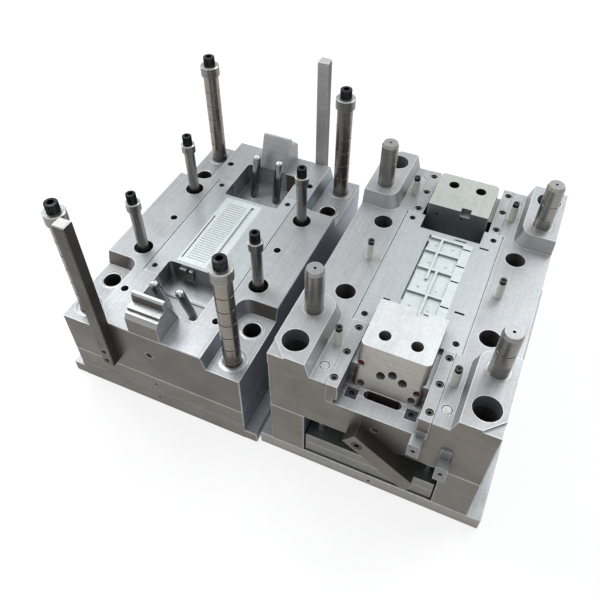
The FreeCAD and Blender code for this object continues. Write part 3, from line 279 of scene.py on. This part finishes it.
# Moving half: resin pullers
# Turned nylon sleeves that hold the halves together by friction; pale green white, a little
# translucent, with fine turning rings.
resin, tree, shader = new_material("turned nylon")
place = add(tree, "ShaderNodeTexCoord")
ring = add(tree, "ShaderNodeMapping", {"Vector": place.outputs["Object"], "Scale": (per(50), per(50),
                                                                                    per(1.1))})
rings = add(tree, "ShaderNodeTexNoise", {"Vector": ring.outputs[0], "Scale": 1.0})
mottle = add(tree, "ShaderNodeTexNoise", {"Vector": place.outputs["Object"], "Scale": per(17), "Detail": 3.0})
tint = add(tree, "ShaderNodeMix", {"Factor": mottle.outputs["Fac"], "A": colour("#bfcab9"),
                                   "B": colour("#e4e9df")}, data_type="RGBA")
bump = add(tree, "ShaderNodeBump", {"Strength": 0.3, "Distance": 0.0002, "Height": rings.outputs["Fac"]})
tree.links.new(tint.outputs["Result"], shader.inputs["Base Color"])
tree.links.new(bump.outputs[0], shader.inputs["Normal"])
shader.inputs["Roughness"].default_value = 0.32
shader.inputs["IOR"].default_value = 1.53
shader.inputs["Subsurface Weight"].default_value = 0.3
shader.inputs["Subsurface Scale"].default_value = 0.003
dress(resin, "puller_sleeves")

# Latch bar and the two catch blocks on the front face
# Flat bar, saw cut and milled, brown under old oil; the small catch blocks are ground bright.
latch_steel = steel("oiled flat bar steel", "#4d4c4a", "#6f675d", "#5a5652", "#c0b3a0", metal=0.65,
                    rough=0.38, cloud=0.2, line=0.12, grime_and_shade=0.5, stain=0.45)
catch_steel = steel("ground catch block steel", "#cdd5da", "#7e827f", "#747b80", "#f0f3f4", metal=0.75,
                    rough=0.3, grime_and_shade=0.7, stain=0.2)
dress(latch_steel, "latch_bar")
dress(catch_steel, "stop_block_upper", "stop_block_lower")

# Fixed half: clamp plate and runner stripper plate
# The same plate steel as the moving half.
dress(plate_steel, "a_clamp_plate", "runner_stripper_plate")

# Fixed half: thick cavity plate
# Its lowered corners were cut with an end mill that went round the guide bore, which leaves
# arcs on their floors.
cavity_steel = steel("milled cavity plate steel", "#b2b6b9", "#6f6a64", "#a2a8b2", "#f3f5f6", highlight_and_wear_width=0.0026,
                     grime_and_shade=0.4)
tree = cavity_steel.node_tree
low, high = [Vector(corner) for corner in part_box("a_plate")]
middle = (low + high) / 2
bore_low, bore_high = [Vector(corner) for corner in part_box("guide_bushings")]
guide_radius = 0.021
reach = (bore_high - bore_low) / 2 - Vector((guide_radius, guide_radius, 0))
arc_pitch = 0.0035
arc_depth = 0.2
floor_margin = 0.004
floor_level = bore_high.z + floor_margin
# A wave texture draws one ring in each 2 pi / 20 of its own length
ring_scale = 2 * math.pi / 20 / arc_pitch
centred = add(tree, "ShaderNodeVectorMath", {0: tree.nodes["place"].outputs["Object"],
                                             1: (middle.x, middle.y, 0)}, operation="SUBTRACT")
folded = add(tree, "ShaderNodeVectorMath", {0: centred.outputs[0]}, operation="ABSOLUTE")
from_bore = add(tree, "ShaderNodeVectorMath", {0: folded.outputs[0], 1: (reach.x, reach.y, 0)},
                operation="SUBTRACT")
flat = add(tree, "ShaderNodeVectorMath", {0: from_bore.outputs[0], 1: (1, 1, 0)}, operation="MULTIPLY")
arcs = add(tree, "ShaderNodeTexWave", {"Vector": flat.outputs[0], "Scale": ring_scale,
                                       "Distortion": 0.6}, wave_type="RINGS", rings_direction="SPHERICAL")
height = add(tree, "ShaderNodeSeparateXYZ", {"Vector": tree.nodes["place"].outputs["Object"]})
below = add(tree, "ShaderNodeMath", {0: height.outputs["Z"], 1: floor_level}, operation="LESS_THAN")
on_floor = add(tree, "ShaderNodeMath", {0: below.outputs[0], 1: tree.nodes["up"].outputs[0]},
               operation="MULTIPLY")
depth = add(tree, "ShaderNodeMath", {0: on_floor.outputs[0], 1: arc_depth}, operation="MULTIPLY")
dim = add(tree, "ShaderNodeMath", {0: arcs.outputs["Fac"], 1: depth.outputs[0]}, operation="MULTIPLY")
left = add(tree, "ShaderNodeMath", {0: 1.0, 1: dim.outputs[0]}, operation="SUBTRACT")
milled = add(tree, "ShaderNodeMath", {0: tree.nodes["marks"].outputs[0], 1: left.outputs[0]},
             operation="MULTIPLY")
tree.links.new(milled.outputs[0], tree.nodes["toned"].inputs["Scale"])
dress(cavity_steel, "a_plate")

# Fixed half: insert frame and ribbed core
# The same two steels as in the moving half.
dress(insert_steel, "a_insert_frame")
dress(core_steel, "a_core")

# Fixed half: support pins, limit bolts and their collars
# Long hardened pins, brown from old oil, with turned grooves; the collars are bright turned steel.
bushing_steel = steel("ground bushing steel", "#b0b4b6", "#77736d", "#77736d", "#d9dcdd", grain=turned,
                      metal=0.8, rough=0.32, cloud=0.15, line=0.1, grime_and_shade=0.5, highlight_and_wear_width=0.0006, stain=0.3)
collar_steel = steel("turned collar steel", "#b9bbba", "#8d8b86", "#86847f", "#eceeee", grain=turned,
                     metal=0.85, rough=0.28, cloud=0.15, line=0.14, grime_and_shade=0.4, highlight_and_wear_width=0.0016, stain=0.2)
bolt_steel = steel("drawn bolt steel", "#b0b1b0", "#8b8a86", "#84837f", "#dcdddc", grain=turned, metal=0.88,
                   rough=0.28, cloud=0.2, line=0.1, grime_and_shade=0.7, highlight_and_wear_width=0.0009, stain=0.3)
dress(pin_steel, "support_pins")
dress(bolt_steel, "limit_bolts")
dress(collar_steel, "support_collars", "limit_collars")

# Fixed half: angle pins that drive the sliders
# Hardened, ground and polished round bars with ball ends.
finger_steel = steel("polished angle pin steel", "#c9cdce", "#a4a8a8", "#9ea3a3", "#f4f6f6", grain=turned,
                     metal=1.0, rough=0.13, cloud=0.08, line=0.04, grime_and_shade=0.6, highlight_and_wear_width=0.0009, stain=0.1)
dress(finger_steel, "angle_pins_front", "angle_pins_back")

# Fixed half: stepped wedge blocks and the notched key
# Hardened tool steel, ground on the steps and the sloping face.
wedge_steel = steel("ground wedge steel", "#c0c5c7", "#6f6a64", "#8b898a", "#eef0f0", metal=0.68, rough=0.36,
                    cloud=0.14, line=0.12, grime_and_shade=0.55, stain=0.25)
dress(wedge_steel, "wedge_front", "pocket_key")
nose_steel = steel("bright ground wedge steel", "#bdc2c4", "#b3b4b6", "#a5a8aa", "#eef0f0", metal=0.6,
                   rough=0.36, cloud=0.14, line=0.12, grime_and_shade=0.45, stain=0.15)
dress(nose_steel, "wedge_back")

# Fixed half: pull bars
# Square bars, ground on the broad face and left brown on the narrow ones, which are also painted darker as
# shade.
bar_steel = steel("oiled square bar steel", "#b4b5b3", "#57544d", "#47433d", "#bdbbb6", metal=0.7, rough=0.36,
                  cloud=0.24, line=0.1, grime_and_shade=0.5, stain=0.4)
dress(bar_steel, "pull_bar_front")
light_bar_steel = steel("ground square bar steel", "#c4c6c7", "#bcbdbd", "#5d524a", "#e3e5e6", metal=0.55,
                        rough=0.42, cloud=0.16, line=0.12, grime_and_shade=0.4, stain=0.1)
dress(light_bar_steel, "pull_bar_back")


# Bushings of the long support pins and of the guide bores
# Hardened and ground steel rings pressed into the lowered corners, with broken outer edges that
# show as a fine ring, and a rounded lead-in at the bore.
def corners(node, radius):
    low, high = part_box(node)
    return [(x, y) for x in (low[0] + radius, high[0] - radius) for y in (low[1] + radius, high[1] - radius)]


def pick(piece, test, faces=False):
    bpy.ops.mesh.select_all(action="DESELECT")
    bpy.ops.mesh.select_mode(type="FACE" if faces else "EDGE")
    mesh = bmesh.from_edit_mesh(piece.data)
    for element in mesh.faces if faces else mesh.edges:
        element.select = all(test(vert.co) for vert in element.verts)
    mesh.select_flush_mode()
    bmesh.update_edit_mesh(piece.data)


def close_mesh():
    bpy.ops.mesh.select_all(action="SELECT")
    bpy.ops.mesh.remove_doubles(threshold=0.00001)
    bpy.ops.mesh.normals_make_consistent(inside=False)
    bpy.ops.object.mode_set(mode="OBJECT")


def settle(piece, name, material, body):
    bpy.ops.object.transform_apply(location=True, rotation=True, scale=True)
    bpy.ops.object.shade_smooth_by_angle(angle=math.radians(30))
    piece.name = name
    piece.data.materials.clear()
    piece.data.materials.append(material)
    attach(piece, body)


def copy_to(piece, name, shift, body):
    twin = piece.copy()
    twin.data = piece.data.copy()
    twin.data.transform(Matrix.Translation(shift))
    twin.name = name
    bpy.context.collection.objects.link(twin)
    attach(twin, body)
    return twin


# Faces and edges are picked within a hair of their place
hair = 0.0001
bore_radius = 0.01505
inside = bore_radius + 5 * hair
edge_break = 0.0008
# Outer radius and lead-in of each kind
bushing_kinds = {"support_bushings": (0.024, 0.001), "guide_bushings": (guide_radius, 0.0022)}
for node, (outer, lead_in) in bushing_kinds.items():
    low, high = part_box(node)
    tall = high[2] - low[2]
    places = corners(node, outer)
    bpy.ops.object.select_all(action="DESELECT")
    bpy.ops.mesh.primitive_cylinder_add(vertices=96, radius=outer, depth=tall,
                                        location=(*places[0], low[2] + tall / 2))
    bushing = bpy.context.object
    bpy.ops.object.mode_set(mode="EDIT")
    for end in (-1, 1):
        pick(bushing, lambda co: co.z * end > tall / 2 - hair, faces=True)
        bpy.ops.mesh.inset(thickness=outer - bore_radius)
    pick(bushing, lambda co: co.xy.length < inside and abs(co.z) > tall / 2 - hair, faces=True)
    bpy.ops.mesh.bridge_edge_loops()
    pick(bushing, lambda co: co.xy.length > outer - hair and co.z > tall / 2 - hair)
    bpy.ops.mesh.bevel(offset=edge_break, segments=2, affect="EDGES")
    pick(bushing, lambda co: co.xy.length < inside and co.z > tall / 2 - hair)
    bpy.ops.mesh.bevel(offset=lead_in, segments=4, affect="EDGES")
    close_mesh()
    first = Vector((*places[0], 0))
    settle(bushing, node + "_1", bushing_steel, "cavity_set")
    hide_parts(node)
    for count, spot in enumerate(places[1:], start=2):
        twin = copy_to(bushing, f"{node}_{count}", Vector((*spot, 0)) - first, "cavity_set")
        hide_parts(node)

# Cap screws on the long pins and limit bolts
# Socket head screws of blackened alloy steel: knurled round the head, rounded at the rim, with a
# deep hexagon socket. They clamp the collars to the pins.
ridges = 56
ridge_angle = math.pi / ridges
knurl_depth = 0.0004
head_round = 0.0012
# The hexagon cutter's radius, and how far its middle lies above the head's top, as shares of the head
hexagon_share = 0.56
hexagon_lift = 0.05
# Head radius, head height and shank radius of each kind
cap_kinds = {"support_screws": (0.011, 0.017, 0.006), "limit_screws": (0.009, 0.018, 0.004)}
for node, (radius, head, shank) in cap_kinds.items():
    low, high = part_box(node)
    places = corners(node, radius)
    bpy.ops.object.select_all(action="DESELECT")
    bpy.ops.mesh.primitive_cylinder_add(vertices=2 * ridges, radius=radius, depth=head,
                                        location=(*places[0], high[2] - head / 2))
    screw = bpy.context.object
    bpy.ops.object.mode_set(mode="EDIT")
    # Every second upright edge is drawn in, which makes the straight knurl
    pick(screw, lambda co: round(math.atan2(co.y, co.x) / ridge_angle) % 2 == 1)
    drawn_in = 1 - knurl_depth / radius
    bpy.ops.transform.resize(value=(drawn_in, drawn_in, 1))
    pick(screw, lambda co: co.z > head / 2 - hair, faces=True)
    bpy.ops.mesh.bevel(offset=head_round, segments=3, affect="EDGES")
    pick(screw, lambda co: co.z < hair - head / 2, faces=True)
    bpy.ops.mesh.inset(thickness=radius - shank)
    bpy.ops.mesh.extrude_region_move(TRANSFORM_OT_translate={"value": (0, 0, low[2] - high[2] + head)})
    close_mesh()
    bpy.ops.object.select_all(action="DESELECT")
    bpy.ops.mesh.primitive_cylinder_add(vertices=6, radius=radius * hexagon_share, depth=head,
                                        location=(*places[0], high[2] + head * hexagon_lift))
    key = bpy.context.object
    bpy.ops.object.select_all(action="DESELECT")
    screw.select_set(True)
    bpy.context.view_layer.objects.active = screw
    socket = screw.modifiers.new("socket", "BOOLEAN")
    socket.object = key
    socket.operation = "DIFFERENCE"
    bpy.ops.object.modifier_apply(modifier="socket")
    bpy.data.objects.remove(key)
    first = Vector((*places[0], 0))
    settle(screw, node + "_1", cap_steel, "fixed_base")
    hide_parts(node)
    for count, spot in enumerate(places[1:], start=2):
        twin = copy_to(screw, f"{node}_{count}", Vector((*spot, 0)) - first, "fixed_base")
        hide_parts(node)

# Return springs in the end holes of the slider feet
# Coils of brass-plated wire that push the slider outwards.
brass, tree, shader = new_material("plated spring wire")
place = add(tree, "ShaderNodeTexCoord")
patch = add(tree, "ShaderNodeTexNoise", {"Vector": place.outputs["Object"], "Scale": per(4), "Detail": 3.0})
plated = add(tree, "ShaderNodeMix", {"Factor": patch.outputs["Fac"], "A": colour("#5b4736"),
                                     "B": colour("#94765a")}, data_type="RGBA")
bump = add(tree, "ShaderNodeBump", {"Strength": 0.2, "Distance": 0.0001, "Height": patch.outputs["Fac"]})
tree.links.new(plated.outputs["Result"], shader.inputs["Base Color"])
tree.links.new(bump.outputs[0], shader.inputs["Normal"])
shader.inputs["Metallic"].default_value = 0.9
shader.inputs["Roughness"].default_value = 0.35
hole_x = 0.040
hole_up = 0.0075
coil_radius = 0.0047
wire_radius = 0.0008
coil_pitch = 0.0022
coil_turns = 5
coil_steps = 28 * coil_turns
inset = 0.009
for side, facing_out in (("front", -1), ("back", 1)):
    low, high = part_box("slider_" + side)
    middle_x = (low[0] + high[0]) / 2
    mouth = low[1] if facing_out < 0 else high[1]
    for count, x in enumerate((middle_x - hole_x, middle_x + hole_x), start=1):
        bpy.ops.object.select_all(action="DESELECT")
        bpy.ops.mesh.primitive_circle_add(vertices=10, radius=wire_radius, location=(coil_radius, 0, 0),
                                          rotation=(math.radians(90), 0, 0))
        spring = bpy.context.object
        bpy.ops.object.transform_apply(location=True, rotation=True, scale=True)
        coil = spring.modifiers.new("coil", "SCREW")
        coil.angle = 2 * math.pi * coil_turns
        coil.steps = coil_steps
        coil.render_steps = coil_steps
        coil.screw_offset = coil_pitch * coil_turns
        bpy.ops.object.modifier_apply(modifier="coil")
        bpy.ops.object.mode_set(mode="EDIT")
        bpy.ops.mesh.select_all(action="SELECT")
        bpy.ops.mesh.fill_holes(sides=12)
        close_mesh()
        spring.rotation_euler = (math.radians(90) * facing_out, 0, 0)
        spring.location = (x, mouth - facing_out * inset, low[2] + hole_up)
        settle(spring, f"slider_spring_{side}_{count}", brass, side + "_slider")

# Pipe threads of the two cooling ports
# A quarter inch parallel pipe thread, 19 turns to the inch, tapped into the front face of each
# thick plate and dark with cutting oil.
port_radius = 0.0066
thread_depth = 0.0006
thread_pitch = 0.0254 / 19
thread_turns = 14
thread_steps = 36 * thread_turns
# How far each port lies to the right of its plate's middle, its height and the plate's body
ports = {"a_plate": (-0.001, 0.151, "cavity_set"), "b_plate": (0.003, 0.178, "moving_half")}
for node, (side_step, level, body) in ports.items():
    low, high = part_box(node)
    bpy.ops.object.select_all(action="DESELECT")
    bpy.ops.mesh.primitive_circle_add(vertices=3, radius=thread_depth, location=(port_radius, 0, 0),
                                      rotation=(math.radians(90), math.radians(-90), 0))
    thread = bpy.context.object
    bpy.ops.object.transform_apply(location=True, rotation=True, scale=True)
    helix = thread.modifiers.new("helix", "SCREW")
    helix.angle = 2 * math.pi * thread_turns
    helix.steps = thread_steps
    helix.render_steps = thread_steps
    helix.screw_offset = thread_pitch * thread_turns
    bpy.ops.object.modifier_apply(modifier="helix")
    bpy.ops.object.mode_set(mode="EDIT")
    bpy.ops.mesh.select_all(action="SELECT")
    bpy.ops.mesh.fill_holes(sides=4)
    close_mesh()
    thread.rotation_euler = (math.radians(-90), 0, 0)
    thread.location = ((low[0] + high[0]) / 2 + side_step, low[1] + thread_pitch, level)
    settle(thread, "port_thread_" + node, oily_screw_steel, body)


# Floor, light and camera
# A plain white sheet under the mould, a broad window light from behind on the right and two weak lamps.
# What the camera sees directly, by reflection or through something is white; other rays are dimmer.
def seen_white(tree):
    ray = add(tree, "ShaderNodeLightPath")
    direct = add(tree, "ShaderNodeMath", {0: ray.outputs["Is Camera Ray"], 1: ray.outputs["Is Glossy Ray"]},
                 operation="MAXIMUM")
    return add(tree, "ShaderNodeMath", {0: direct.outputs[0], 1: ray.outputs["Is Transmission Ray"]},
               operation="MAXIMUM")


bpy.ops.object.select_all(action="DESELECT")
bpy.ops.mesh.primitive_plane_add(size=12, location=(0, 0, -0.0002))
floor = bpy.context.object
floor.name = "floor"
paper, tree, shader = new_material("white paper")
fibre = add(tree, "ShaderNodeTexNoise", {"Scale": 300.0})
pale = add(tree, "ShaderNodeMix", {"Factor": fibre.outputs["Fac"], "A": colour("#f2f2f2"),
                                   "B": colour("#f6f6f6")}, data_type="RGBA")
tree.links.new(pale.outputs["Result"], shader.inputs["Base Color"])
shader.inputs["Roughness"].default_value = 0.9
share = add(tree, "ShaderNodeMath", {0: seen_white(tree).outputs[0], 1: 0.7}, operation="MULTIPLY")
glow = add(tree, "ShaderNodeEmission", {"Color": (1, 1, 1, 1), "Strength": 1.16})
sheet = add(tree, "ShaderNodeMixShader", {0: share.outputs[0], 1: shader.outputs[0], 2: glow.outputs[0]})
tree.links.new(sheet.outputs[0], tree.nodes["Material Output"].inputs["Surface"])
floor.data.materials.append(paper)

world = bpy.data.worlds.new("studio")
bpy.context.scene.world = world
world.use_nodes = True
tree = world.node_tree
tree.nodes.clear()
seen = seen_white(tree)
fill = add(tree, "ShaderNodeBackground", {"Color": colour("#f4f6fa"), "Strength": 0.5})
white = add(tree, "ShaderNodeBackground", {"Color": (1, 1, 1, 1), "Strength": 1.0})
both = add(tree, "ShaderNodeMixShader", {0: seen.outputs[0], 1: fill.outputs[0], 2: white.outputs[0]})
add(tree, "ShaderNodeOutputWorld", {"Surface": both.outputs[0]})


def soft_lamp(name, place, aim, size, power):
    lamp = bpy.data.lights.new(name, "AREA")
    lamp.shape = "SQUARE"
    lamp.size = size
    lamp.energy = power
    holder = bpy.data.objects.new(name, lamp)
    bpy.context.collection.objects.link(holder)
    holder.location = place
    holder.rotation_euler = (Vector(aim) - Vector(place)).to_track_quat("-Z", "Y").to_euler()


soft_lamp("window", (1.3, 1.5, 2.0), (0.15, 0, 0.2), 1.6, 27)
soft_lamp("skylight", (-0.95, 0.15, 1.7), (-0.17, -0.25, 0.2), 0.7, 12)
soft_lamp("left", (-2.3, -0.1, 0.9), (0, 0, 0.25), 1.0, 6)

lens = bpy.data.cameras.new("camera")
lens.sensor_width = 36
lens.sensor_fit = "HORIZONTAL"
lens.lens = 38.377
camera = bpy.data.objects.new("camera", lens)
bpy.context.collection.objects.link(camera)
camera.location = (0.2990, -0.7560, 1.0288)
camera.rotation_euler = (math.radians(41.28), 0, math.radians(24.23))
bpy.context.scene.camera = camera
bpy.context.scene.view_settings.view_transform = "Standard"
